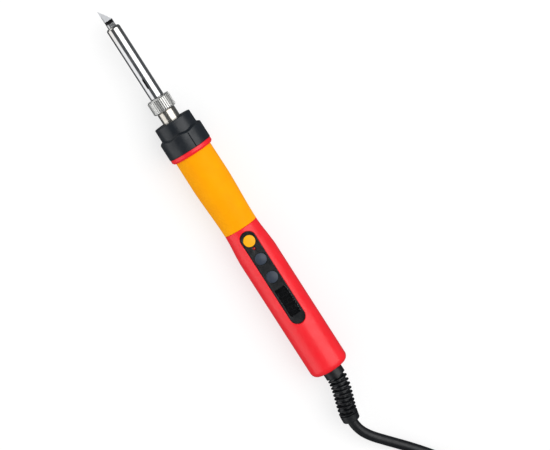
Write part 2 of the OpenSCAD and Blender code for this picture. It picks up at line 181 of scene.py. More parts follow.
def make_floor():
    """A white sweep that takes shadows but isn't seen in reflections, as on a light table."""
    half = 6.0
    corners = [(-half, -half, 0), (half, -half, 0), (half, half, 0), (-half, half, 0)]
    floor = placed("floor", mesh_of("floor", corners, [(0, 1, 2, 3)]))
    floor.data.materials.append(floor_paper())
    floor.visible_glossy = False
    floor.visible_diffuse = False
    floor.visible_shadow = False


# ------------------------------------------------------------------ materials

class Finish:
    """A node material being put together. Textures follow the piece's own coordinates, in metres."""

    def __init__(self, name, color, roughness, metallic=0.0, **sockets):
        self.material = bpy.data.materials.new(name)
        self.material.use_nodes = True
        self.nodes = self.material.node_tree.nodes
        self.links = self.material.node_tree.links
        self.shader = self.nodes["Principled BSDF"]
        self.color = color
        self.set("Base Color", (*color, 1))
        self.set("Roughness", roughness)
        self.set("Metallic", metallic)
        for socket, value in sockets.items():
            self.set(socket.replace("_", " "), value)
        self.coordinates = self.nodes.new("ShaderNodeTexCoord").outputs["Object"]

    def feed(self, socket, value):
        """A link from another node, or a fixed value."""
        if isinstance(value, bpy.types.NodeSocket):
            self.links.new(value, socket)
        else:
            socket.default_value = value

    def set(self, socket, value):
        self.feed(self.shader.inputs[socket], value)

    def math(self, operation, a, b=0):
        node = self.nodes.new("ShaderNodeMath")
        node.operation = operation
        self.feed(node.inputs[0], a)
        self.feed(node.inputs[1], b)
        return node.outputs[0]

    def position(self, axis):
        node = self.nodes.new("ShaderNodeSeparateXYZ")
        self.links.new(self.coordinates, node.inputs[0])
        return node.outputs[axis]

    def stretched(self, factors):
        node = self.nodes.new("ShaderNodeMapping")
        node.inputs["Scale"].default_value = factors
        self.links.new(self.coordinates, node.inputs["Vector"])
        return node.outputs[0]

    def noise(self, size, detail=3.0, stretch=(1, 1, 1)):
        """Noise whose spots are about size millimetres across."""
        node = self.nodes.new("ShaderNodeTexNoise")
        node.inputs["Scale"].default_value = 1 / (size * MM)
        node.inputs["Detail"].default_value = detail
        self.links.new(self.stretched(stretch), node.inputs["Vector"])
        return node.outputs["Fac"]

    def spread(self, value, low, high, start=0.35, end=0.65):
        """The value, moved from the range start to end into the range low to high."""
        node = self.nodes.new("ShaderNodeMapRange")
        self.links.new(value, node.inputs["Value"])
        for socket, number in (("From Min", start), ("From Max", end), ("To Min", low), ("To Max", high)):
            node.inputs[socket].default_value = number
        return node.outputs["Result"]

    def mix(self, share, first, second):
        node = self.nodes.new("ShaderNodeMix")
        node.data_type = "RGBA"
        self.links.new(share, node.inputs["Factor"])
        for socket, value in ((node.inputs[6], first), (node.inputs[7], second)):
            self.feed(socket, value if isinstance(value, bpy.types.NodeSocket) else (*value, 1))
        return node.outputs[2]

    def vary_color(self, value, other):
        """The base colour drifts towards another where the value is high."""
        self.set("Base Color", self.mix(value, self.color, other))

    def bump(self, height, depth):
        """Relief of about depth millimetres."""
        node = self.nodes.new("ShaderNodeBump")
        node.inputs["Distance"].default_value = depth * MM
        self.links.new(height, node.inputs["Height"])
        self.set("Normal", node.outputs["Normal"])


def floor_paper():
    f = Finish("floor_paper", (0.34, 0.34, 0.34), 0.9, Emission_Strength=0.66)
    f.set("Emission Color", (1, 1, 1, 1))
    f.vary_color(f.noise(40, 4), (0.36, 0.36, 0.36))
    return f.material


def bit_metal():
    """Bright tin on the knife faces, dark plating behind them, oxide on the body in the barrel."""
    f = Finish("bit_metal", (0.86, 0.87, 0.89), 0.2, metallic=1.0)
    edge = f.math("ADD", f.position("X"), f.math("MULTIPLY", f.noise(1.2), 0.0004))
    tin_end, burnt_end = at(7.2).x, at(9.1).x
    plated = f.spread(edge, 0, 1, tin_end + 0.0001, tin_end + 0.0003)
    clean = f.spread(edge, 0, 1, burnt_end, burnt_end + 0.0005)
    tinned = f.mix(plated, f.color, (0.03, 0.03, 0.032))
    body = f.spread(f.position("X"), 0, 1, at(13).x, at(13.6).x)
    f.set("Base Color", f.mix(body, f.mix(clean, tinned, (0.5, 0.5, 0.5)), (0.02, 0.02, 0.02)))
    wavy = f.math("ADD", f.noise(1.6, 2), f.noise(0.25, 3))
    tin = f.math("SUBTRACT", 1, plated)
    dull = f.math("MULTIPLY", f.math("ADD", body, tin), 0.3)
    f.set("Roughness", f.math("ADD", f.spread(wavy, 0.1, 0.2, 0.8, 1.2), dull))
    f.bump(wavy, 0.008)
    return f.material


def polished_steel():
    """Drawn and polished tube: fine rings round it, faint smudges and a straw tint near the bit."""
    f = Finish("polished_steel", (0.72, 0.72, 0.73), 0.12, metallic=1.0)
    rings = f.noise(0.12, 2, (1, 0.02, 0.02))
    smudges = f.noise(6, 4)
    tint = f.spread(f.position("X"), 0.35, 0, at(BARREL_FROM).x, at(BARREL_FROM + 14).x)
    f.vary_color(tint, (0.7, 0.62, 0.5))
    f.set("Roughness", f.spread(smudges, 0.09, 0.2))
    f.bump(rings, 0.004)
    return f.material


def nickel_plate(name, color, worn, roughness, knurled=False):
    """Plating with worn places; a knurled piece gets painted shade, darker between its ridges."""
    f = Finish(name, color, roughness, metallic=1.0)
    plated = f.mix(f.spread(f.noise(1.5, 4), 0, 0.6), f.color, worn)
    if knurled:
        x, y, z = f.position("X"), f.position("Y"), f.math("SUBTRACT", f.position("Z"), AXIS_Z)
        radius = f.math("SQRT", f.math("ADD", f.math("MULTIPLY", y, y), f.math("MULTIPLY", z, z)))
        deep = f.spread(radius, 0.85, 0, (NUT_R - 0.42) * MM, (NUT_R - 0.2) * MM)
        behind = f.spread(x, 0, 1, at(NUT_FROM + 0.5).x, at(NUT_FROM + 0.8).x)
        ahead = f.spread(x, 1, 0, at(NUT_TO - 0.8).x, at(NUT_TO - 0.5).x)
        # painted shade: the colour is darkened nearly to black in the grooves of the knurl, fading out at
        # both ends
        painted_groove_shade = f.math("MULTIPLY", deep, f.math("MULTIPLY", behind, ahead))
        plated = f.mix(painted_groove_shade, plated, (0.08, 0.08, 0.08))
    f.set("Base Color", plated)
    f.set("Roughness", f.spread(f.noise(0.5, 3), roughness - 0.03, roughness + 0.13))
    f.bump(f.noise(0.1, 2), 0.006)
    return f.material


def moulded_plastic(name, color, other, roughness, grain, depth, **sockets):
    """Moulded surface with a fine even grain, a faint drift of colour and rubbed places."""
    f = Finish(name, color, roughness, **sockets)
    f.vary_color(f.spread(f.noise(9, 4), 0, 1), other)
    f.set("Roughness", f.spread(f.noise(4, 4), roughness - 0.06, roughness + 0.08))
    f.bump(f.noise(grain, 2), depth)
    return f.material


def window_glass():
    f = Finish("smoked_window", (0.3, 0.31, 0.33), 0.04, Transmission_Weight=1.0, IOR=1.49)
    f.set("Roughness", f.spread(f.noise(2, 4), 0.03, 0.08))
    return f.material


def clear_red():
    f = Finish("clear_red", (0.55, 0.02, 0.02), 0.15, Transmission_Weight=0.35, IOR=1.5)
    f.vary_color(f.spread(f.noise(0.4, 2), 0, 0.6), (0.35, 0.01, 0.01))
    return f.material


def cord_rubber():
    """Extruded sheath, slightly uneven and dusty in places."""
    f = Finish("cord_rubber", (0.005, 0.006, 0.008), 0.42)
    f.vary_color(f.spread(f.noise(5, 4), 0, 0.7), (0.01, 0.011, 0.013))
    f.set("Roughness", f.spread(f.noise(1.5, 4), 0.36, 0.5))
    f.bump(f.noise(0.35, 3), 0.015)
    return f.material


def strap_fabric():
    """Loop fabric of a cable strap: short ribs of weave with fluff between them."""
    f = Finish("strap_fabric", (0.03, 0.031, 0.034), 0.85, Sheen_Weight=0.4)
    rows = f.nodes.new("ShaderNodeTexWave")
    rows.inputs["Scale"].default_value = 1 / (4 * MM)
    rows.inputs["Distortion"].default_value = 0.6
    f.links.new(f.coordinates, rows.inputs["Vector"])
    height = f.math("ADD", rows.outputs["Fac"], f.noise(0.2, 4))
    f.vary_color(f.spread(height, 0, 1, 0.4, 1.5), (0.075, 0.076, 0.08))
    f.bump(height, 0.12)
    return f.material


def brushed_metal(name, color, roughness):
    f = Finish(name, color, roughness, metallic=1.0)
    f.set("Roughness", f.spread(f.noise(0.8, 4), roughness - 0.06, roughness + 0.12))
    f.bump(f.noise(0.08, 2, (1, 6, 1)), 0.004)
    return f.material


def board_lacquer():
    """Green lacquer over copper tracks."""
    f = Finish("board_lacquer", (0.01, 0.12, 0.04), 0.3)
    tracks = f.nodes.new("ShaderNodeTexBrick")
    tracks.inputs["Scale"].default_value = 1 / (6 * MM)
    tracks.inputs["Mortar Size"].default_value = 0.06
    f.links.new(f.coordinates, tracks.inputs["Vector"])
    f.vary_color(tracks.outputs["Fac"], (0.03, 0.2, 0.08))
    f.bump(tracks.outputs["Fac"], 0.03)
    return f.material


# ------------------------------------------------------------------ mesh tools

def cleaned(mesh, merge=0.002):
    """The mesh with points closer than merge millimetres made one, and its faces turned outwards."""
    shape = bmesh.new()
    shape.from_mesh(mesh)
    bmesh.ops.remove_doubles(shape, verts=shape.verts, dist=merge * MM)
    bmesh.ops.recalc_face_normals(shape, faces=shape.faces)
    shape.to_mesh(mesh)
    shape.free()
    return mesh


def closed_mesh(name, geometry):
    return cleaned(mesh_of(name, *geometry))


def evaluated(holder, *others):
    """The mesh of an object with its modifiers applied. The objects are removed."""
    bpy.context.view_layer.update()
    mesh = bpy.data.meshes.new_from_object(holder.evaluated_get(bpy.context.evaluated_depsgraph_get()))
    for thing in (holder, *others):
        bpy.data.objects.remove(thing)
    return mesh


def make_piece(name, geometry, *rest, **options):
    """finish_piece from (points, faces)."""
    return finish_piece(name, mesh_of(name, *geometry), *rest, **options)


def finish_piece(name, mesh, material, body, slot, replaces=(), crease=38, even=True):
    """An object from a mesh, shaded smooth up to the crease angle, riding on a body."""
    cleaned(mesh)
    for polygon in mesh.polygons:
        polygon.use_smooth = True
    mesh.set_sharp_from_angle(angle=math.radians(crease))
    mesh.materials.clear()
    mesh.materials.append(material)
    piece = placed(name, mesh)
    if even:
        piece.modifiers.new("even_normals", "WEIGHTED_NORMAL").keep_sharp = True
    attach(piece, body)
    if replaces:
        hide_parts(*replaces)
    return piece


def joined(*parts):
    """Several (points, faces) as one."""
    points, faces = [], []
    for part_points, part_faces in parts:
        start = len(points)
        points.extend(part_points)
        faces.extend([tuple(start + i for i in face) for face in part_faces])
    return points, faces


def skin(rings, around=True, along=False, ends=(False, False)):
    """Faces over rows of points. Rows close on themselves if around, the last joins the first if along."""
    width = len(rings[0])
    points = [p for ring in rings for p in ring]
    rows = len(rings) if along else len(rings) - 1
    columns = width if around else width - 1
    faces = []
    for i in range(rows):
        near, beyond = i * width, (i + 1) % len(rings) * width
        for k in range(columns):
            n = (k + 1) % width
            faces.append((near + k, near + n, beyond + n, beyond + k))
    if ends[0]:
        faces.append(tuple(range(width - 1, -1, -1)))
    if ends[1]:
        last = (len(rings) - 1) * width
        faces.append(tuple(range(last, last + width)))
    return points, faces


def rounded(outline, size, closed=False, steps=4):
    """The outline with its corners rounded off. A third number on a point is a size of its own."""
    out = []
    last = len(outline) - 1
    for i, point in enumerate(outline):
        here = Vector(point[:2])
        corner = point[2] if len(point) > 2 else size
        if corner == 0 or (not closed and i in (0, last)):
            out.append(here)
            continue
        back = Vector(outline[i - 1][:2]) - here
        ahead = Vector(outline[(i + 1) % len(outline)][:2]) - here
        angle = back.angle(ahead)
        if angle > math.radians(176):
            out.append(here)
            continue
        cut = min(corner / math.tan(angle / 2), back.length * 0.48, ahead.length * 0.48)
        start, end = here + back.normalized() * cut, here + ahead.normalized() * cut
        for k in range(steps + 1):
            t = k / steps
            out.append(start * (1 - t) ** 2 + here * 2 * t * (1 - t) + end * t ** 2)
    return out


def circle(sides):
    """Angles all the way round."""
    return [2 * math.pi * k / sides for k in range(sides)]


def turned(profile, sides=96, closed=True, sweep=(0, 360)):
    """Turned about the axis of the iron: the profile is [station, radius], from the front."""
    whole = sweep[1] - sweep[0] == 360
    count = sides if whole else sides + 1
    angles = [math.radians(sweep[0] + (sweep[1] - sweep[0]) * k / sides) for k in range(count)]
    rings = [[at(s, r * math.sin(a), r * math.cos(a)) for a in angles] for s, r in profile]
    return skin(rings, around=whole, along=closed)


def turned_upright(profile, station, y=0.0, sides=48):
    """Turned about a line square to the iron's axis: the profile is [radius, height]."""
    return skin([[at(station + r * math.cos(a), y + r * math.sin(a), h) for a in circle(sides)]
                 for r, h in profile])


def plate(name, outlines, low, high, edge):
    """Mesh of a flat plate. Its closed outlines are in [station, y]: the rim first, then the holes."""
    data = bpy.data.curves.new(name, "CURVE")
    data.dimensions = "2D"
    data.fill_mode = "BOTH"
    data.extrude = (high - low) / 2 * MM - edge * MM
    data.bevel_depth = edge * MM
    data.bevel_resolution = 2
    data.offset = -edge * MM
    for outline in outlines:
        spline = data.splines.new("POLY")
        spline.points.add(len(outline) - 1)
        spline.use_cyclic_u = True
        for point, (s, y) in zip(spline.points, outline):
            place = at(s, y)
            point.co = (place.x, place.y, 0, 1)
    mesh = evaluated(placed(name, data))
    mesh.transform(Matrix.Translation((0, 0, at(0, 0, (low + high) / 2).z)))
    return mesh


def ring_outline(station, radius, count=48):
    return [(station + radius * math.cos(a), radius * math.sin(a)) for a in circle(count)]


def slot_outline(start, end, width, count=24):
    """Outline with round ends."""
    r = width / 2
    turn = [math.pi * k / count for k in range(count + 1)]
    front = [(start + r - r * math.sin(a), r * math.cos(a)) for a in turn]
    rear = [(end - r + r * math.sin(a), -r * math.cos(a)) for a in turn]
    return front + rear


def box_outline(start, end, width, corner):
    w = width / 2
    return [tuple(p) for p in rounded([(start, -w), (end, -w), (end, w), (start, w)], corner, closed=True)]


def ease(t):
    t = min(1.0, max(0.0, t))
    return (1 - math.cos(math.pi * t)) / 2


def smooth_path(points, spacing):
    """Points a fixed distance apart on a curve through the given points."""
    fine = []
    for i in range(len(points) - 1):
        a, b = points[max(i - 1, 0)], points[i]
        c, d = points[i + 1], points[min(i + 2, len(points) - 1)]
        reach = (c - b).length
        start = (c - a) / max((c - b).length + (b - a).length, 1e-9) * reach
        end = (d - b) / max((d - c).length + (c - b).length, 1e-9) * reach
        steps = max(2, int(reach / spacing * 4))
        for k in range(steps):
            t = k / steps
            fine.append(b * (2 * t ** 3 - 3 * t ** 2 + 1) + start * (t ** 3 - 2 * t ** 2 + t)
                        + c * (3 * t ** 2 - 2 * t ** 3) + end * (t ** 3 - t ** 2))
    fine.append(points[-1])
    total = sum((b - a).length for a, b in zip(fine, fine[1:]))
    count = round(total / spacing)
    out, passed, i = [fine[0]], 0.0, 0
    for k in range(1, count):
        wanted = total * k / count
        while passed + (fine[i + 1] - fine[i]).length < wanted:
            passed += (fine[i + 1] - fine[i]).length
            i += 1
        step = fine[i + 1] - fine[i]
        out.append(fine[i] + step * ((wanted - passed) / step.length))
    out.append(fine[-1])
    return out


# ------------------------------------------------------------------ cord, hank, tie and plug
# The route repeats part.scad: points listed from the rear face of the handle to the hank, the
# hank's turns by a loop, and points listed from its last fold to the plug.
LEAD_ROUTE = [
    (117, 0, 12.85), (123, 0, 12.85), (128, -0.8, 12.8), (133, -2.2, 12.6),
    (138, -3.8, 12.2), (143, -5.2, 11.6), (148, -5.9, 10.7), (153, -5.6, 9.6),
    (158, -4.1, 8.4), (163, -1.2, 7.1), (169, 3.5, 5.7), (175, 8.5, 4.6), (181, 13.5, 3.9),
    (187, 18.3, 3.6), (193, 22.7, 3.5), (199.5, 26.6, 3.5), (207.5, 28.9, 3.5),
]
TAIL_ROUTE = [
    (218, 23.4, 20.9), (224.5, 22.3, 21.1), (231, 19.1, 21.8), (237.5, 14.7, 22.8),
    (244, 10.1, 23.9), (250.5, 7, 24.6), (257, 6, 24.8),
]
RELIEF_RADII = [5.65, 5.65, 5.6, 5.55, 5.45, 5.3, 4.9]
HANK_X = 218
HANK_Y = 6
HANK_RUN = 49.5
HANK_BASE = 0.6
FOLD_R = 17.4
# Place of the cord in the hank before each turn: column, 0 inside and 1 outside, and layer
HANK_PLACES = [(1, 0), (0, 0), (0, 1), (1, 1), (1, 2), (0, 2), (0, 3)]


def hank_turn(before, after):
    """One turn of the hank: along, round, back while it moves to its next place, and round."""
    arc_steps, run_steps = 16, 24
    swell = 1.9
    points = []

    def add(x, angle, share):
        column = before[0] + (after[0] - before[0]) * share
        layer = before[1] + (after[1] - before[1]) * share
        radius = FOLD_R + CORD_D * column
        if before[1] != after[1]:
            radius += (swell if before[0] else -swell) * math.sin(math.pi * share)
        points.append((
            x + radius * math.cos(angle),
            HANK_Y + radius * math.sin(angle),
            HANK_BASE + CORD_D / 2 + CORD_D * layer,
        ))

    quarter = math.pi / 2
    for k in range(run_steps):
        add(HANK_X + HANK_RUN * k / run_steps, quarter, 0)
    for k in range(arc_steps):
        add(HANK_X + HANK_RUN, quarter - math.pi * k / arc_steps, 0)
    for k in range(run_steps):
        t = k / run_steps
        add(HANK_X + HANK_RUN * (1 - t), -quarter, ease((t - 0.05) / 0.9))
    for k in range(arc_steps):
        add(HANK_X, -quarter - math.pi * k / arc_steps, 1)
    return points


def cord_route():
    points = list(LEAD_ROUTE)
    for before, after in zip(HANK_PLACES, HANK_PLACES[1:]):
        points += hank_turn(before, after)
    return [bench(p) for p in points + TAIL_ROUTE]


def mains_lead(material):
    data = bpy.data.curves.new("mains_lead", "CURVE")
    data.dimensions = "3D"
    data.bevel_depth = CORD_D / 2 * MM
    data.bevel_resolution = 6
    data.use_fill_caps = True
    line = smooth_path(cord_route(), 2 * MM)
    spline = data.splines.new("POLY")
    spline.points.add(len(line) - 1)
    for point, place in zip(spline.points, line):
        point.co = (*place, 1)
    spline.use_smooth = True
    data.materials.append(material)
    lead = placed("mains_lead", data)
    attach(lead, "iron")
    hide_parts("cord_lead", "cord_hank", "cord_tail")


def relief_radius(s, total, angle, outer):
    """Radius of the ribbed sleeve at a length along it and an angle round it."""
    collar_l, mouth_l, edge = 4.4, 4.2, 0.5
    pitch, fin_depth, least_core = 2.25, 2.3, 3.1
    radius = outer
    if collar_l < s < total - mouth_l:
        phase = (s - collar_l) / pitch
        gap = int(phase)
        open_share = ease((0.5 - abs(phase - gap - 0.5)) * 2 / 0.4 - 0.5)
        web_at = math.pi / 4 if gap % 2 else -math.pi / 4
        off = abs((angle - web_at + math.pi / 2) % math.pi - math.pi / 2)
        web = 1 - ease((off - math.radians(12)) / math.radians(8))
        radius -= min(fin_depth, outer - least_core) * open_share * (1 - 0.8 * web)
    rim = min(s, total - s)
    if rim < edge:
        radius -= edge - math.sqrt(max(edge ** 2 - (edge - rim) ** 2, 0))
    return radius


def strain_relief(material):
    """Ribbed sleeve: a smooth collar, fins held by small webs, and a plain mouth."""
    step, sides = 0.16, 72
    bore_r = CORD_D / 2 + 0.05
    neck_r, flange_r, flange_from = 4.95, 6.6, HANDLE_TO - 6.5
    count = len(RELIEF_RADII)
    line = smooth_path([bench(p) for p in LEAD_ROUTE[:count]], step * MM)
    total = (len(line) - 1) * step
    rings = []
    for i, place in enumerate(line):
        ahead = (line[min(i + 1, len(line) - 1)] - line[max(i - 1, 0)]).normalized()
        side = Vector((-ahead.y, ahead.x, 0)).normalized()
        up = ahead.cross(side)
        s = i * step
        place_in = s / total * (count - 1)
        k = min(int(place_in), count - 2)
        outer = RELIEF_RADII[k] + (RELIEF_RADII[k + 1] - RELIEF_RADII[k]) * (place_in - k)
        rings.append([
            place + (side * math.cos(a) + up * math.sin(a)) * relief_radius(s, total, a, outer) * MM
            for a in circle(sides)
        ])
    end = line[-1]
    mouth = [end + (p - end).normalized() * bore_r * MM for p in rings[-1]]
    inside = [p - (end - line[-12]) for p in mouth]
    root = turned(rounded([
        (flange_from, 0, 0), (flange_from, flange_r), (flange_from + 1.9, flange_r),
        (flange_from + 1.9, neck_r), (HANDLE_TO + 0.3, neck_r), (HANDLE_TO + 0.3, 0, 0),
    ], 0.2), sides, closed=False)
    sleeve = skin([[line[0]] * sides] + rings + [mouth, inside])
    return make_piece("strain_relief_sleeve", joined(root, sleeve), material, "iron", "cord_black",
                      ["strain_relief"], crease=50, even=False)


def cable_strap(material):
    """Loop fabric strap round the middle of the hank, its end lapped over and pressed on."""
    width, thickness = 12.0, 0.6
    middle = HANK_X + HANK_RUN / 2
    half = FOLD_R + 1.5 * CORD_D
    height = HANK_BASE + 3 * CORD_D
    corner = CORD_D / 2 + thickness / 2

    def band(line, closed):
        """Strap along a line in [y, z], with soft edges."""
        section = rounded([(-width / 2, -thickness / 2), (width / 2, -thickness / 2),
                           (width / 2, thickness / 2), (-width / 2, thickness / 2)], 0.25, closed=True)
        rings = []
        count = len(line)
        for i, here in enumerate(line):
            before = line[i - 1] if closed or i else here
            after = line[(i + 1) % count] if closed or i < count - 1 else here
            ahead = (after - before).normalized()
            out = Vector((ahead.y, -ahead.x))
            rings.append([bench((middle + p.x, here.x + out.x * p.y, here.y + out.y * p.y))
                          for p in section])
        return skin(rings, along=closed, ends=(not closed, not closed))

    low, high = thickness / 2, height + thickness / 2
    left, right = HANK_Y - half - thickness / 2, HANK_Y + half + thickness / 2
    line = rounded([
        (left, low), (HANK_Y - 8, low, 0), (HANK_Y + 8, low, 0), (right, low), (right, high),
        (HANK_Y + 11, high, 0), (HANK_Y, high - 0.5, 0), (HANK_Y - 11, high, 0), (left, high),
    ], corner, closed=True, steps=10)
    lap_from, lap_to = HANK_Y - 4, HANK_Y + 19
    lap = []
    for k in range(21):
        y = lap_from + (lap_to - lap_from) * k / 20
        lap.append(Vector((y, high + thickness - 0.5 * max(0, 1 - abs(y - HANK_Y) / 11))))
    strap = joined(band(line, True), band(lap, False))
    return make_piece("cable_strap", strap, material, "iron", "strap", ["cord_tie"], even=False)


def plug(material):
    """Flat moulded plug: a ribbed sleeve for the lead, waisted sides and a flat front."""
    low, high = box_of("plug_body")
    start = Vector(TAIL_ROUTE[-1])
    half_w, half_h = (high[1] - low[1]) / 2, (high[2] - low[2]) / 2
    sleeve_l, sleeve_r, neck_half_w, edge = 18.0, 5.4, 10.0, 1.2
    body_l = high[0] - low[0] - sleeve_l
    rings = []

    def add(x, w, h, square):
        """A ring that is round at 2 and squarer above it."""
        rings.append([bench(start + Vector((
            x,
            w * math.copysign(abs(math.cos(a)) ** (2 / square), math.cos(a)),
            h * math.copysign(abs(math.sin(a)) ** (2 / square), math.sin(a)),
        ))) for a in circle(72)])

    add(0, CORD_D / 2, CORD_D / 2, 2)
    for i in range(91):
        x = sleeve_l * i / 90
        r = sleeve_r - 1.8 + 1.8 * x / sleeve_l
        if 1.6 < x < sleeve_l - 2.4:
            r -= 0.7 * ease(math.sin(2 * math.pi * (x - 1.6) / 2.3) * 0.9 + 0.2)
        if x < 0.4:
            r -= 0.4 - x
        add(x, r, r, 2)
    for i in range(61):
        x = body_l * i / 60
        grow = ease((x - 1.5) / (body_l - 12))
        w = sleeve_r + (neck_half_w - sleeve_r) * ease(x / 4) + (half_w - neck_half_w) * grow ** 1.4
        h = sleeve_r + (half_h - sleeve_r) * ease(x / 6)
        inset = 0.0
        if body_l - x < edge:
            inset = edge - math.sqrt(max(edge ** 2 - (edge - (body_l - x)) ** 2, 0))
        add(sleeve_l + x, w - inset, h - inset, 2 + 3.2 * ease(x / 9))
    return make_piece("plug_moulding", skin(rings, ends=(True, True)), material, "iron", "cord_black",
                      ["plug_body"])


def plug_pins(metal, sleeve):
    """Two round pins with a slimmer insulated part next to the plug."""
    low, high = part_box("plug_pins")
    r = (high.z - low.z) / 2 / MM
    start, end = low.x / MM, high.x / MM
    height = (low.z + high.z) / 2 / MM
    sleeve_l, sides = 10.0, 40

    def along_x(profile, y):
        return skin([[bench((x, y + rad * math.cos(a), height + rad * math.sin(a))) for a in circle(sides)]
                     for x, rad in profile])

    centres = (low.y / MM + r, high.y / MM - r)
    metal_profile = rounded([
        (start, 0, 0), (start, r - 0.25, 0), (start + sleeve_l, r - 0.25, 0), (start + sleeve_l, r, 0.1),
        (end - 1, r, 1.2), (end, r - 1, 0.8), (end, 0, 0),
    ], 0.1)
    sleeve_profile = rounded([
        (start, r - 0.25, 0), (start, r - 0.05),
        (start + sleeve_l, r - 0.05), (start + sleeve_l, r - 0.25, 0),
    ], 0.08)
    pins = make_piece("plug_pin_metal", joined(*(along_x(metal_profile, y) for y in centres)), metal,
                      "iron", "pin_metal", ["plug_pins"])
    sleeves = make_piece("plug_pin_sleeves", joined(*(along_x(sleeve_profile, y) for y in centres)), sleeve,
                         "iron", "cord_black")
    return pins, sleeves


# ------------------------------------------------------------------ bit, barrel and nut

def soldering_bit(material):
    """Shank with a knife edge ground slanting across its front, and the body inside the barrel."""
    face_l, half_angle = 7.2, math.radians(30)
    body_r, bore_r = 3.3, 2.15
    shank_to, body_from, bore_from = 13.4, 14.2, 16.5
    blade_to, sharp_angle = 10, math.radians(28)
    _, rear, _ = extent("soldering_tip")
    profile = rounded([
        (0, 0, 0), (0, SHANK_R, 0), (shank_to, SHANK_R, 0.3), (body_from, body_r, 0.3),
        (rear, body_r, 0.2), (rear, bore_r, 0.1), (bore_from, bore_r, 0), (bore_from, 0, 0),
    ], 0.1)
    fine = profile[:2] + [Vector((s * 0.5, SHANK_R)) for s in range(1, 26)] + profile[2:]
    mesh = mesh_of("bit_shape", *turned(fine, 72, closed=False))
    shape = bmesh.new()
    shape.from_mesh(mesh)
    bmesh.ops.remove_doubles(shape, verts=shape.verts, dist=0.001 * MM)
    slant = math.atan2(2 * SHANK_R, face_l)
    steep = math.tan(half_angle)
    for side in (1, -1):
        normal = Vector((-math.sin(slant) * steep, math.cos(slant) * steep, side))
        cut = bmesh.ops.bisect_plane(
            shape, geom=shape.verts[:] + shape.edges[:] + shape.faces[:], plane_co=at(0, -SHANK_R),
            plane_no=normal, clear_outer=True)
        rim = [e for e in cut["geom_cut"] if isinstance(e, bmesh.types.BMEdge)]
        bmesh.ops.edgenet_fill(shape, edges=rim)
    bmesh.ops.remove_doubles(shape, verts=shape.verts, dist=0.004 * MM)
    bmesh.ops.recalc_face_normals(shape, faces=shape.faces)
    limit = at(blade_to).x
    sharp = [e for e in shape.edges if len(e.link_faces) == 2 and e.calc_face_angle(0) > sharp_angle
             and all(v.co.x < limit for v in e.verts)]
    bmesh.ops.bevel(shape, geom=sharp, offset=0.09 * MM, segments=3, profile=0.5, affect="EDGES",
                    clamp_overlap=True)
    shape.to_mesh(mesh)
    shape.free()
    return finish_piece("soldering_bit", mesh, material, "barrel", "bit", ["soldering_tip"])


def cut_out(mesh, cutter_mesh):
    """The mesh with another one taken away from it."""
    holder, cutter = placed("holder", mesh), placed("cutter", cutter_mesh)
    cut = holder.modifiers.new("cut", "BOOLEAN")
    cut.object = cutter
    cut.operation = "DIFFERENCE"
    cut.solver = "EXACT"
    return evaluated(holder, cutter)


def barrel(material):
    """Tube with a rounded nose, a vent slot and a flange inside the nut."""
    wall, nose = 0.5, 1.4
    slot_at, slot_l, slot_w, slot_turn = 43.5, 6.3, 1.0, math.radians(22)
    neck_at, neck_r = NUT_FROM - 0.6, BARREL_R - 0.25
    flange_l = 1.2
    inner, inner_from = BARREL_R - wall, 14.2
    mouth, mouth_to = SHANK_R + 0.15, 13.2
    nose_arc = [(BARREL_FROM + nose - nose * math.cos(a), BARREL_R - nose + nose * math.sin(a))
                for a in (math.radians(90 * k / 10) for k in range(11))]
    body = [(s, BARREL_R) for s in (16, 24, 32, 38, *range(41, 52), 53)]
    profile = [(BARREL_FROM + 0.06, mouth + 0.02), (BARREL_FROM, mouth + 0.12)] + nose_arc + body
    profile += rounded([
        (54, BARREL_R, 0), (neck_at, BARREL_R), (neck_at + 0.25, neck_r), (BARREL_TO - flange_l, neck_r),
        (BARREL_TO - flange_l, BARREL_FLANGE_R), (BARREL_TO, BARREL_FLANGE_R), (BARREL_TO, inner),
        (inner_from, inner), (mouth_to, mouth), (BARREL_FROM + 0.06, mouth + 0.02, 0),
    ], 0.12)[:-1]
    tube = closed_mesh("barrel_tube", turned(profile, 128))
    slot = [(slot_at + s, y) for s, y in slot_outline(0, slot_l, slot_w, 16)]
    turn = Matrix.Rotation(slot_turn, 3, "X")
    rings = [[at(*(turn @ Vector((s, y, z)))) for s, y in slot] for z in (1.5, 6.0)]
    cutter = closed_mesh("slot_cutter", skin(rings, ends=(True, True)))
    return finish_piece("barrel_tube", cut_out(tube, cutter), material, "barrel", "barrel_steel",
                        ["tip_sleeve"])


def knurled_nut(material):
    """Nut with straight V grooves between flat lands, chamfered at both ends."""
    ridges, depth, chamfer = 36, 0.5, 0.7
    lip_l, lip_r, thread_r = 1.5, BARREL_R + 0.08, 4.95
    section = ((0, 0), (0.13, 0), (0.27, 0), (0.5, 1), (0.73, 0), (0.87, 0))
    around = [(2 * math.pi * (k + share) / ridges, low) for k in range(ridges) for share, low in section]

    def ring(station, limit):
        """A row of the knurl, cut off at a radius by the chamfer."""
        radii = [min(NUT_R - depth * low, limit) for _, low in around]
        return [at(station, r * math.sin(a), r * math.cos(a)) for (a, _), r in zip(around, radii)]

    slope = [(chamfer * k / 6, NUT_R - chamfer * 0.8 * (1 - k / 6)) for k in range(7)]
    rows = [ring(NUT_FROM + s, limit) for s, limit in slope]
    rows += [ring(NUT_TO - s, limit) for s, limit in reversed(slope)]
    inside = rounded([
        (NUT_TO, NUT_R - chamfer, 0), (NUT_TO, thread_r + 0.35, 0), (NUT_TO - 0.4, thread_r),
        (NUT_FROM + lip_l, thread_r), (NUT_FROM + lip_l, lip_r), (NUT_FROM, lip_r),
        (NUT_FROM, NUT_R - chamfer, 0),
    ], 0.1)
    rows += [[at(s, r * math.sin(a), r * math.cos(a)) for a, _ in around] for s, r in inside[1:-1]]
    return make_piece("knurled_nut", skin(rows, along=True), material, "nut", "nickel", ["retaining_nut"],
                      crease=24, even=False)


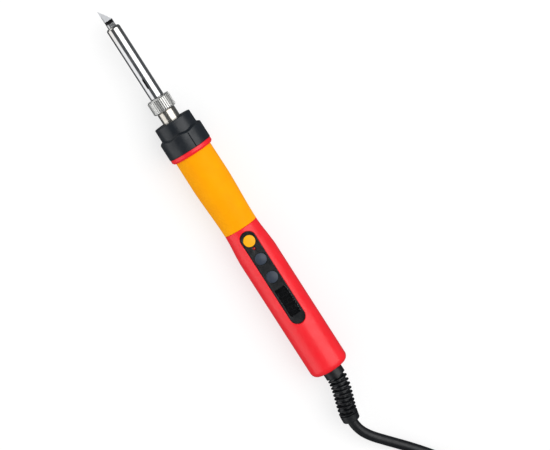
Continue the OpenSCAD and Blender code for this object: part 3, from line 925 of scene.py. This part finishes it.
def threaded_stub(material):
    """Plated pipe: a true helical thread in front, plain where it shows behind the nut."""
    pitch, thread_r, depth = 1.0, 4.9, 0.42
    bore_r, foot_r, sides = 3.6, 8.4, 64
    thread_to = NUT_TO + 0.1
    rows = []

    def add(station, radius):
        rows.append([at(station, radius(a) * math.sin(a), radius(a) * math.cos(a)) for a in circle(sides)])

    steps = round((thread_to - STUB_FROM) / 0.1)
    for i in range(steps + 1):
        s = STUB_FROM + (thread_to - STUB_FROM) * i / steps
        lead_in = min(1.0, (s - STUB_FROM) / 0.5, (thread_to - s) / 0.5 + 0.2)

        def thread(a, s=s, lead_in=lead_in):
            phase = (s / pitch - a / (2 * math.pi)) % 1.0
            return thread_r - depth + depth * lead_in * (1 - ease(abs(phase - 0.5) * 2 * 1.3 - 0.15))

        add(s, thread)
    tail = rounded([
        (thread_to, thread_r - depth, 0), (thread_to + 0.3, STUB_R), (STUB_TO - 2, STUB_R),
        (STUB_TO - 2, foot_r), (STUB_TO, foot_r), (STUB_TO, bore_r), (STUB_FROM, bore_r, 0.1),
        (STUB_FROM, thread_r - depth, 0),
    ], 0.15)
    for s, r in tail[1:]:
        add(s, lambda a, r=r: r)
    return make_piece("threaded_stub", skin(rows, along=True), material, "iron", "warm_nickel",
                      ["mounting_stub"])


# ------------------------------------------------------------------ collar, grip and handle

def collar(material):
    """Black collar: a neck, a wavy step up to the shoulder, and a groove along each side of it."""
    neck_r, step_from, step_l = 10.95, 78.5, 1.4
    lobes, lobe_at, lobe_l = 7, 19.0, 0.45
    groove_at, groove_w, groove_depth = 17.0, 0.6, 0.38
    spigot_r, tube_r = 9.95, 5.35
    close = (0, 0.5, 0.9, 1.35, 1.6, 2.2)
    marks = [groove_at + turn + side * off for turn in (0, 180) for side in (-1, 1) for off in close]
    even = [1.5 * k for k in range(240)]
    angles = sorted(set(marks + [a for a in even if min(abs(a - m) for m in marks) > 0.7]))

    def radius(s, degrees):
        r = neck_r + 0.1 * min(1, (s - COLLAR_FROM) / (step_from - COLLAR_FROM))
        back = lobe_l * math.cos(math.radians(lobes * (degrees - lobe_at)))
        r += (COLLAR_R - neck_r - 0.1) * ease((s - step_from - back) / step_l)
        off = abs((degrees - groove_at + 90) % 180 - 90) * math.pi / 180 * COLLAR_R
        groove = max(0, 1 - off / (groove_w / 2))
        return r - groove_depth * groove * ease((s - step_from - step_l - lobe_l) / 0.6)

    rows = []
    edge, end_edge = 0.45, 0.3
    for k in range(5):
        a = math.radians(90 * k / 4)
        rows.append((COLLAR_FROM + edge - edge * math.cos(a), COLLAR_FROM + edge, edge - edge * math.sin(a)))
    step_rows = [step_from - lobe_l + (step_l + 2 * lobe_l) * k / 18 for k in range(19)]
    stations = [73, 75, 77] + step_rows + [80.45, 80.65, 80.85, 81.5, 84, 87, COLLAR_TO - 0.6]
    rows += [(s, s, 0) for s in stations]
    for k in range(5):
        a = math.radians(90 * k / 4)
        rows.append((COLLAR_TO - end_edge + end_edge * math.sin(a), COLLAR_TO - end_edge,
                     end_edge - end_edge * math.cos(a)))

    def ring(station, reach):
        return [at(station, reach(a) * math.sin(math.radians(a)), reach(a) * math.cos(math.radians(a)))
                for a in angles]

    rings = [ring(s, lambda a, shape=shape, less=less: radius(shape, a) - less) for s, shape, less in rows]
    inside = rounded([
        (COLLAR_TO, COLLAR_R - 1, 0), (COLLAR_TO, spigot_r, 0.1), (STUB_TO - 2, spigot_r, 0.1),
        (STUB_TO - 2, tube_r, 0.1), (COLLAR_FROM, tube_r, 0.15), (COLLAR_FROM, neck_r - 1, 0),
    ], 0.1)
    rings += [ring(s, lambda a, r=r: r) for s, r in inside[1:-1]]
    return make_piece("collar", skin(rings, along=True), material, "iron", "black_plastic", ["front_collar"],
                      crease=60, even=False)


def grip(material):
    """Silicone sleeve, a little fuller near the front and drawn in towards the handle."""
    straight = 16.0
    front_r = GRIP_R - 0.1
    tube_r = 8.62
    outer = [(GRIP_FROM, front_r - 0.35), (GRIP_FROM + 0.1, front_r - 0.1), (GRIP_FROM + 0.4, front_r)]
    outer += [(GRIP_FROM + straight * k / 6, front_r + 0.1 * k / 6) for k in range(1, 7)]
    outer += [(GRIP_FROM + straight + (GRIP_TO - 0.3 - GRIP_FROM - straight) * k / 24,
               GRIP_R - (GRIP_R - SEAM_R) * ease(k / 24)) for k in range(1, 25)]
    outer += [(GRIP_TO - 0.12, SEAM_R - 0.06), (GRIP_TO - 0.02, SEAM_R - 0.25), (GRIP_TO - 0.02, tube_r),
              (GRIP_FROM, tube_r)]
    return make_piece("grip_sleeve_soft", turned(outer, 128), material, "iron", "silicone", ["grip_sleeve"])


def handle_radius(station, down):
    """Radius of the handle. down is the angle from straight down in degrees: past 90 the shape is round."""
    t = ease((station - GRIP_TO) / SWELL)
    round_r = SEAM_R + (HANDLE_R - SEAM_R) * t
    end = HANDLE_TO - REAR_ROUND
    less = 0.0
    if station > end:
        less = REAR_ROUND - math.sqrt(max(REAR_ROUND ** 2 - (station - end) ** 2, 0))
    if down >= 90:
        return round_r - less
    belly = SEAM_R - BELLY_DROP + (BELLY_R - SEAM_R + BELLY_DROP) * t
    a = math.radians(down)
    reach = BELLY_DROP * math.cos(a) + math.sqrt(belly ** 2 - (BELLY_DROP * math.sin(a)) ** 2)
    return max(reach, round_r if t < 1 else 0) - less


def front_half(sweep):
    """Half of the spigot, flange and core that carry the collar and the grip."""
    spigot_from, core_to, sides = 85, GRIP_TO + 1.5, 64
    outer = rounded([
        (spigot_from, CORE_BORE_R), (spigot_from, SPIGOT_R), (COLLAR_TO + 0.01, SPIGOT_R, 0),
        (COLLAR_TO + 0.01, FLANGE_R, 0.25), (GRIP_FROM - 0.95, FLANGE_R, 0.5),
        (GRIP_FROM - 0.02, FLANGE_R - 0.75, 0.3), (GRIP_FROM - 0.02, CORE_R, 0), (core_to, CORE_R, 0),
        (core_to, CORE_BORE_R),
    ], 0.15, closed=True)
    points, faces = turned(outer, sides, sweep=sweep)
    starts = [(sides + 1) * i for i in range(len(outer))]
    faces += [tuple(starts), tuple(start + sides for start in reversed(starts))]
    return points, faces


def rear_stations():
    """Stations along the handle, closer together at its rounded ends."""
    front = [GRIP_TO + 0.02, GRIP_TO + 0.1, GRIP_TO + 0.3, GRIP_TO + 0.7]
    middle = [GRIP_TO + 0.7 + 1.0 * k for k in range(1, int(HANDLE_TO - REAR_ROUND - GRIP_TO - 0.7) + 1)]
    rear = [HANDLE_TO - REAR_ROUND * (1 - math.sin(math.radians(90 * k / 12))) for k in range(13)]
    return front + middle + rear


def shell_point(station, degrees):
    """Point of the handle's skin. Degrees go from straight up towards +Y."""
    down = abs(180 - degrees % 360)
    r = handle_radius(station, down)
    if station < GRIP_TO + 0.3:
        r -= 0.3 - (station - GRIP_TO)
    a = math.radians(degrees)
    return at(station, r * math.sin(a), r * math.cos(a))


def rear_lid(ring):
    """Rows that close the rear face of the handle in to the hole for the lead."""
    centre = at(HANDLE_TO)
    rows = []
    for r, behind in ((LEAD_HOLE_R + 0.2, 0), (LEAD_HOLE_R, 0.2), (LEAD_HOLE_R, 3)):
        back = centre - Vector((behind * MM, 0, 0))
        rows.append([back + Vector((0, p.y - centre.y, p.z - centre.z)).normalized() * r * MM for p in ring])
    return rows


def parting(degrees):
    """Angles over one half of the handle, with closer rows at its two parting lines."""
    gap, steps = 0.25, 46
    close = [gap, gap + 0.5]
    first = gap + 1.5
    angles = close + [first + (180 - 2 * first) * k / steps for k in range(steps + 1)]
    angles += [180 - a for a in reversed(close)]
    return [degrees + a for a in angles]


def thickened(mesh, depth):
    """The mesh of a skin with a wall added on its inner side."""
    holder = placed("holder", mesh)
    wall = holder.modifiers.new("wall", "SOLIDIFY")
    wall.thickness = depth * MM
    wall.offset = -1
    wall.use_even_offset = False
    return evaluated(holder)


def handle_half(name, mesh, sweep, material, node):
    """A half of the handle with its half of the core."""
    shell = [v.co.copy() for v in mesh.vertices], [tuple(p.vertices) for p in mesh.polygons]
    return make_piece(name, joined(shell, front_half(sweep)), material, "iron", "red_plastic", [node])


def handle_bottom(material):
    """Lower half: its belly and the wells of the two screws."""
    angles = parting(90)
    rings = [[shell_point(s, a) for a in angles] for s in rear_stations()]
    shell = closed_mesh("handle_bottom", skin(rings + rear_lid(rings[-1]), around=False))
    shell = thickened(shell, 1.6)
    for cutter in screw_wells():
        shell = cut_out(shell, cutter)
    return handle_half("handle_bottom", shell, (90.2, 269.8), material, "bottom_shell")


def screw_wells():
    """Cutters for the two wells in the underside."""
    well_r, low, high = 2.5, -14.0, -7.5
    out = []
    for side in (-1, 1):
        rings = [[at(SCREW_AT + well_r * math.cos(a), side * SCREW_Y + well_r * math.sin(a), z)
                  for a in circle(40)] for z in (low, high)]
        out.append(closed_mesh("well", skin(rings, ends=(True, True))))
    return out


def angle_of(p):
    """Degrees from straight up of a point of the handle's skin, from its station and y."""
    return math.degrees(math.asin(max(-1, min(1, p.y / handle_radius(p.x, 180)))))


def handle_top(material):
    """Upper half: its skin runs in rings round the panel's recess and squares up towards the edges."""
    recess_floor, rim_round = 7.6, 0.35
    angles = parting(-90)
    stations = rear_stations()
    ends = (PANEL_FROM + PANEL_W / 2, PANEL_TO - PANEL_W / 2)
    first = max(i for i, s in enumerate(stations) if s <= PANEL_FROM - 0.9)
    last = min(i for i, s in enumerate(stations) if s >= PANEL_TO + 2.4)
    low = min(k for k, a in enumerate(angles) if a > -42)
    high = max(k for k, a in enumerate(angles) if a < 42)
    rings = [[shell_point(s, a) for a in angles] for s in stations]
    width = len(angles)
    points = [p for ring in rings for p in ring]
    faces = []
    for i in range(len(stations) - 1):
        for k in range(width - 1):
            if first <= i < last and low <= k < high:
                continue
            faces.append((i * width + k, i * width + k + 1, (i + 1) * width + k + 1, (i + 1) * width + k))
    rear = skin([rings[-1]] + rear_lid(rings[-1]), around=False)
    border = ([(i, low) for i in range(first, last)] + [(last, k) for k in range(low, high)]
              + [(i, high) for i in range(last, first, -1)] + [(first, k) for k in range(high, low, -1)])
    rows = [[] for _ in range(8)]
    for i, k in border:
        s, w = stations[i], math.radians(angles[k]) * HANDLE_R
        centre = min(max(s, ends[0]), ends[1])
        out = Vector((s - centre, w)).normalized()
        wall = Vector((centre, 0)) + out * PANEL_W / 2
        near = wall + out * rim_round
        crown = (shell_point(near.x, angle_of(near)).z - AXIS_Z) / MM
        rows[0].append(at(wall.x, wall.y, recess_floor))
        rows[1].append(at(wall.x, wall.y, crown - rim_round - 0.15))
        for step in range(1, 4):
            a = math.radians(30 * step)
            p = wall + out * rim_round * (1 - math.cos(a))
            rows[1 + step].append(at(p.x, p.y, crown - rim_round + rim_round * math.sin(a)))
        flat_near = Vector((near.x, math.radians(angle_of(near)) * HANDLE_R))
        for row, t in ((5, 0.18), (6, 0.5)):
            p = flat_near.lerp(Vector((s, w)), t)
            rows[row].append(shell_point(p.x, math.degrees(p.y / HANDLE_R)))
        rows[7].append(points[i * width + k])
    shell = thickened(closed_mesh("handle_top", joined((points, faces), rear, skin(rows))), 1.4)
    return handle_half("handle_top", shell, (-89.8, 89.8), material, "top_shell")


def shell_screws(material):
    """Round heads with a cross recess, seen down the wells in the underside."""
    head_r, head_low, head_high, shank_r = 2.25, -10.6, -9.02, 1.2
    cuts = []
    body = []
    for side in (-1, 1):
        y = side * SCREW_Y
        profile = rounded([
            (0, head_low, 0), (head_r * 0.75, head_low, 0.6), (head_r, head_low + 0.6, 0.4),
            (head_r, head_high, 0.1), (shank_r, head_high, 0.1), (shank_r, 3.6, 0.3), (0.7, 4.0, 0.1),
            (0, 4.0, 0),
        ], 0.1)
        body.append(turned_upright(profile, SCREW_AT, y, 40))
        for long, wide in ((1.35, 0.28), (0.28, 1.35)):
            wide_ring = [(-long, -wide), (long, -wide), (long, wide), (-long, wide)]
            rings = [[at(SCREW_AT + u * size, y + v * size, z) for u, v in wide_ring]
                     for z, size in ((head_low - 0.5, 1.1), (head_low + 0.95, 0.55))]
            cuts.append(closed_mesh("cross", skin(rings, ends=(True, True))))
    mesh = closed_mesh("shell_screw_heads", joined(*body))
    for cutter in cuts:
        mesh = cut_out(mesh, cutter)
    return finish_piece("shell_screw_heads", mesh, material, "iron", "steel", ["shell_screws"])


# ------------------------------------------------------------------ panel, buttons and display

def control_panel(material):
    """Black plate with holes for the buttons, the light and the window."""
    window_low, window_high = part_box("display_window")
    window = ((window_low.x - TIP_X) / MM - 0.05, (window_high.x - TIP_X) / MM + 0.05)
    window_w = (window_high.y - window_low.y) / MM + 0.1
    outlines = [slot_outline(PANEL_FROM + 0.06, PANEL_TO - 0.06, PANEL_W - 0.12)]
    outlines += [ring_outline(s, BUTTON_R + 0.12) for s in BUTTONS.values()]
    outlines += [ring_outline(LED_AT, LED_R + 0.07, 24), box_outline(*window, window_w, 0.4)]
    mesh = plate("panel_plate", outlines, PANEL_TOP - PANEL_T, PANEL_TOP, 0.15)
    return finish_piece("panel_plate", mesh, material, "iron", "panel_black", ["control_panel"])


def push_button(node, body, slot, material, crown):
    """Round cap with a soft edge and a slightly domed face, on a flange and a plunger."""
    low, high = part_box(node)
    bottom, top = (low.z - AXIS_Z) / MM, (high.z - AXIS_Z) / MM
    flange_r = (high.x - low.x) / 2 / MM
    plunger_r, flange_low, flange_high, face_r = 1.5, 7.5, 8.4, BUTTON_R * 0.94
    face = [(face_r * (1 - k / 8), top - crown * (1 - k / 8) ** 2) for k in range(9)]
    profile = rounded([
        (0, bottom, 0), (plunger_r, bottom), (plunger_r, flange_low), (flange_r, flange_low),
        (flange_r, flange_high), (BUTTON_R, flange_high), (BUTTON_R, top - crown - 0.05, 0.45),
        (face_r, top - crown, 0),
    ], 0.12) + [Vector(p) for p in face[1:]]
    cap = turned_upright(profile, BUTTONS[node], sides=72)
    return make_piece(f"{node}_cap", cap, material, body, slot, [node])


def indicator(material):
    """Small red light with a domed top, on its two wires."""
    _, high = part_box("indicator_led")
    top = (high.z - AXIS_Z) / MM
    bottom, crown, wire_r, wire_from = 6.6, 0.5, 0.2, 2
    dome = [(LED_R * math.cos(math.radians(15 * k)), top - crown + crown * math.sin(math.radians(15 * k)))
            for k in range(7)]
    lens = turned_upright([(0, bottom), (LED_R, bottom)] + dome, LED_AT, sides=32)
    wire = [(0, wire_from), (wire_r, wire_from), (wire_r, bottom + 0.1), (0, bottom + 0.1)]
    wires = [turned_upright(wire, LED_AT, side * 0.5, 12) for side in (-1, 1)]
    return make_piece("indicator_lens", joined(lens, *wires), material, "iron", "red_lens", ["indicator_led"])


def window(material):
    """Clear cover of the display."""
    low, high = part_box("display_window")
    outline = box_outline((low.x - TIP_X) / MM, (high.x - TIP_X) / MM, (high.y - low.y) / MM, 0.35)
    mesh = plate("window_plate", [outline], (low.z - AXIS_Z) / MM, (high.z - AXIS_Z) / MM, 0.1)
    return finish_piece("window_plate", mesh, material, "iron", "window", ["display_window"])


def unlit_digits(material):
    """Three dark seven-bar digits under the window."""
    low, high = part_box("display_window")
    centre = ((low.x + high.x) / 2 - TIP_X) / MM
    half_w, half_h, bar, slope, gap, pitch = 1.35, 2.3, 0.26, 0.12, 0.12, 4.6
    bottom, top = 8.41, 8.46
    bars = [((-1, 1), (1, 1)), ((-1, 0), (1, 0)), ((-1, -1), (1, -1)),
            ((-1, 0), (-1, 1)), ((-1, -1), (-1, 0)), ((1, 0), (1, 1)), ((1, -1), (1, 0))]
    parts = []
    for digit in (-1, 0, 1):
        for start, end in bars:
            a = Vector((start[0] * half_w, start[1] * half_h))
            b = Vector((end[0] * half_w, end[1] * half_h))
            along = (b - a).normalized()
            across = Vector((-along.y, along.x)) * bar
            a, b = a + along * gap, b - along * gap
            hexagon = [a, a + along * bar + across, b - along * bar + across, b,
                       b - along * bar - across, a + along * bar - across]
            rings = [[at(centre + digit * pitch + p.x + p.y * slope, p.y, z) for p in hexagon]
                     for z in (bottom, top)]
            parts.append(skin(rings, ends=(True, True)))
    return make_piece("display_bars", joined(*parts), material, "iron", "display", even=False)


# ------------------------------------------------------------------ assembly

def dress(materials):
    """Materials for the CAD nodes whose shape is shown as it is."""
    for node, name in {
        "heater_core": "ceramic", "heater_disc": "insulator", "heater_wires": "wire",
        "display_module": "display", "button_switches": "black", "circuit_board": "board",
        "controller_chip": "black", "power_triac": "black", "fuse": "glass", "film_capacitor": "tan",
        "smoothing_capacitor": "blue", "mains_wires": "wire", "lead_end": "cord", "cord_clamp": "black",
        "clamp_screws": "steel",
    }.items():
        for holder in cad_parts[node].material_slots:
            holder.material = materials[name]


def build():
    materials = {
        "bit": bit_metal(),
        "barrel": polished_steel(),
        "nickel": nickel_plate("nickel", (0.86, 0.86, 0.84), (0.78, 0.77, 0.74), 0.4, knurled=True),
        "warm": nickel_plate("warm_nickel", (0.76, 0.73, 0.67), (0.62, 0.57, 0.49), 0.16),
        "collar": moulded_plastic("collar_black", (0.009, 0.012, 0.017), (0.013, 0.017, 0.022), 0.36, 0.3,
                                  0.02),
        "red": moulded_plastic("handle_red", (0.93, 0.009, 0.02), (0.88, 0.008, 0.017), 0.34, 0.5, 0.008),
        "silicone": moulded_plastic("silicone_orange", (0.99, 0.39, 0.0), (0.97, 0.36, 0.0), 0.55, 0.25, 0.03,
                                    Specular_IOR_Level=0.06),
        "panel": moulded_plastic("panel_black", (0.004, 0.005, 0.006), (0.007, 0.008, 0.009), 0.22, 0.25,
                                 0.006),
        "yellow": moulded_plastic("button_yellow", (0.98, 0.46, 0.0), (0.96, 0.43, 0.0), 0.4, 0.3, 0.01,
                                  Specular_IOR_Level=0.3),
        "grey": moulded_plastic("button_grey", (0.03, 0.042, 0.065), (0.036, 0.05, 0.075), 0.4, 0.3, 0.01),
        "red_lens": clear_red(),
        "window": window_glass(),
        "display": moulded_plastic("display_dark", (0.008, 0.009, 0.009), (0.012, 0.012, 0.012), 0.5, 0.3,
                                   0.01),
        "bars": moulded_plastic("display_bar_grey", (0.12, 0.11, 0.11), (0.1, 0.1, 0.1), 0.6, 0.3, 0.005),
        "cord": cord_rubber(),
        "strap": strap_fabric(),
        "pin": brushed_metal("pin_nickel", (0.8, 0.77, 0.7), 0.22),
        "steel": brushed_metal("zinc_steel", (0.62, 0.62, 0.64), 0.28),
        "black": moulded_plastic("component_black", (0.02, 0.02, 0.02), (0.03, 0.03, 0.03), 0.5, 0.2, 0.01),
        "ceramic": moulded_plastic("ceramic_stained", (0.07, 0.06, 0.05), (0.12, 0.1, 0.08), 0.7, 0.15, 0.02),
        "insulator": moulded_plastic("insulator_tan", (0.6, 0.45, 0.28), (0.5, 0.36, 0.2), 0.7, 0.3, 0.03),
        "wire": moulded_plastic("wire_red", (0.5, 0.04, 0.03), (0.4, 0.03, 0.02), 0.5, 0.2, 0.01),
        "board": board_lacquer(),
        "glass": moulded_plastic("fuse_tube", (0.75, 0.8, 0.76), (0.8, 0.82, 0.8), 0.12, 0.5, 0.002),
        "tan": moulded_plastic("capacitor_tan", (0.6, 0.33, 0.06), (0.52, 0.28, 0.05), 0.3, 0.4, 0.01),
        "blue": moulded_plastic("capacitor_blue", (0.02, 0.035, 0.16), (0.02, 0.03, 0.12), 0.25, 0.5, 0.005),
    }
    relief = strain_relief(materials["cord"])
    strap = cable_strap(materials["strap"])
    moulding = plug(materials["cord"])
    pins, sleeves = plug_pins(materials["pin"], materials["cord"])
    mains_lead(materials["cord"])

    soldering_bit(materials["bit"])
    barrel(materials["barrel"])
    knurled_nut(materials["nickel"])
    threaded_stub(materials["warm"])
    collar(materials["collar"])
    grip(materials["silicone"])
    handle_top(materials["red"])
    handle_bottom(materials["red"])
    shell_screws(materials["steel"])

    control_panel(materials["panel"])
    push_button("power_button", "power_key", "yellow_plastic", materials["yellow"], 0.25)
    push_button("up_button", "up_key", "grey_plastic", materials["grey"], 0.5)
    push_button("down_button", "down_key", "grey_plastic", materials["grey"], 0.5)
    indicator(materials["red_lens"])
    window(materials["window"])
    unlit_digits(materials["bars"])
    dress(materials)


make_camera()
make_sun("main_light", (36, 4), 1.8, 66)
make_sun("side_light", (-76, 0), 0.75, 56)
make_sun("front_light", (-76, -82), 0.55, 50)
make_world()
make_floor()
bpy.context.scene.view_settings.view_transform = "Standard"
build()
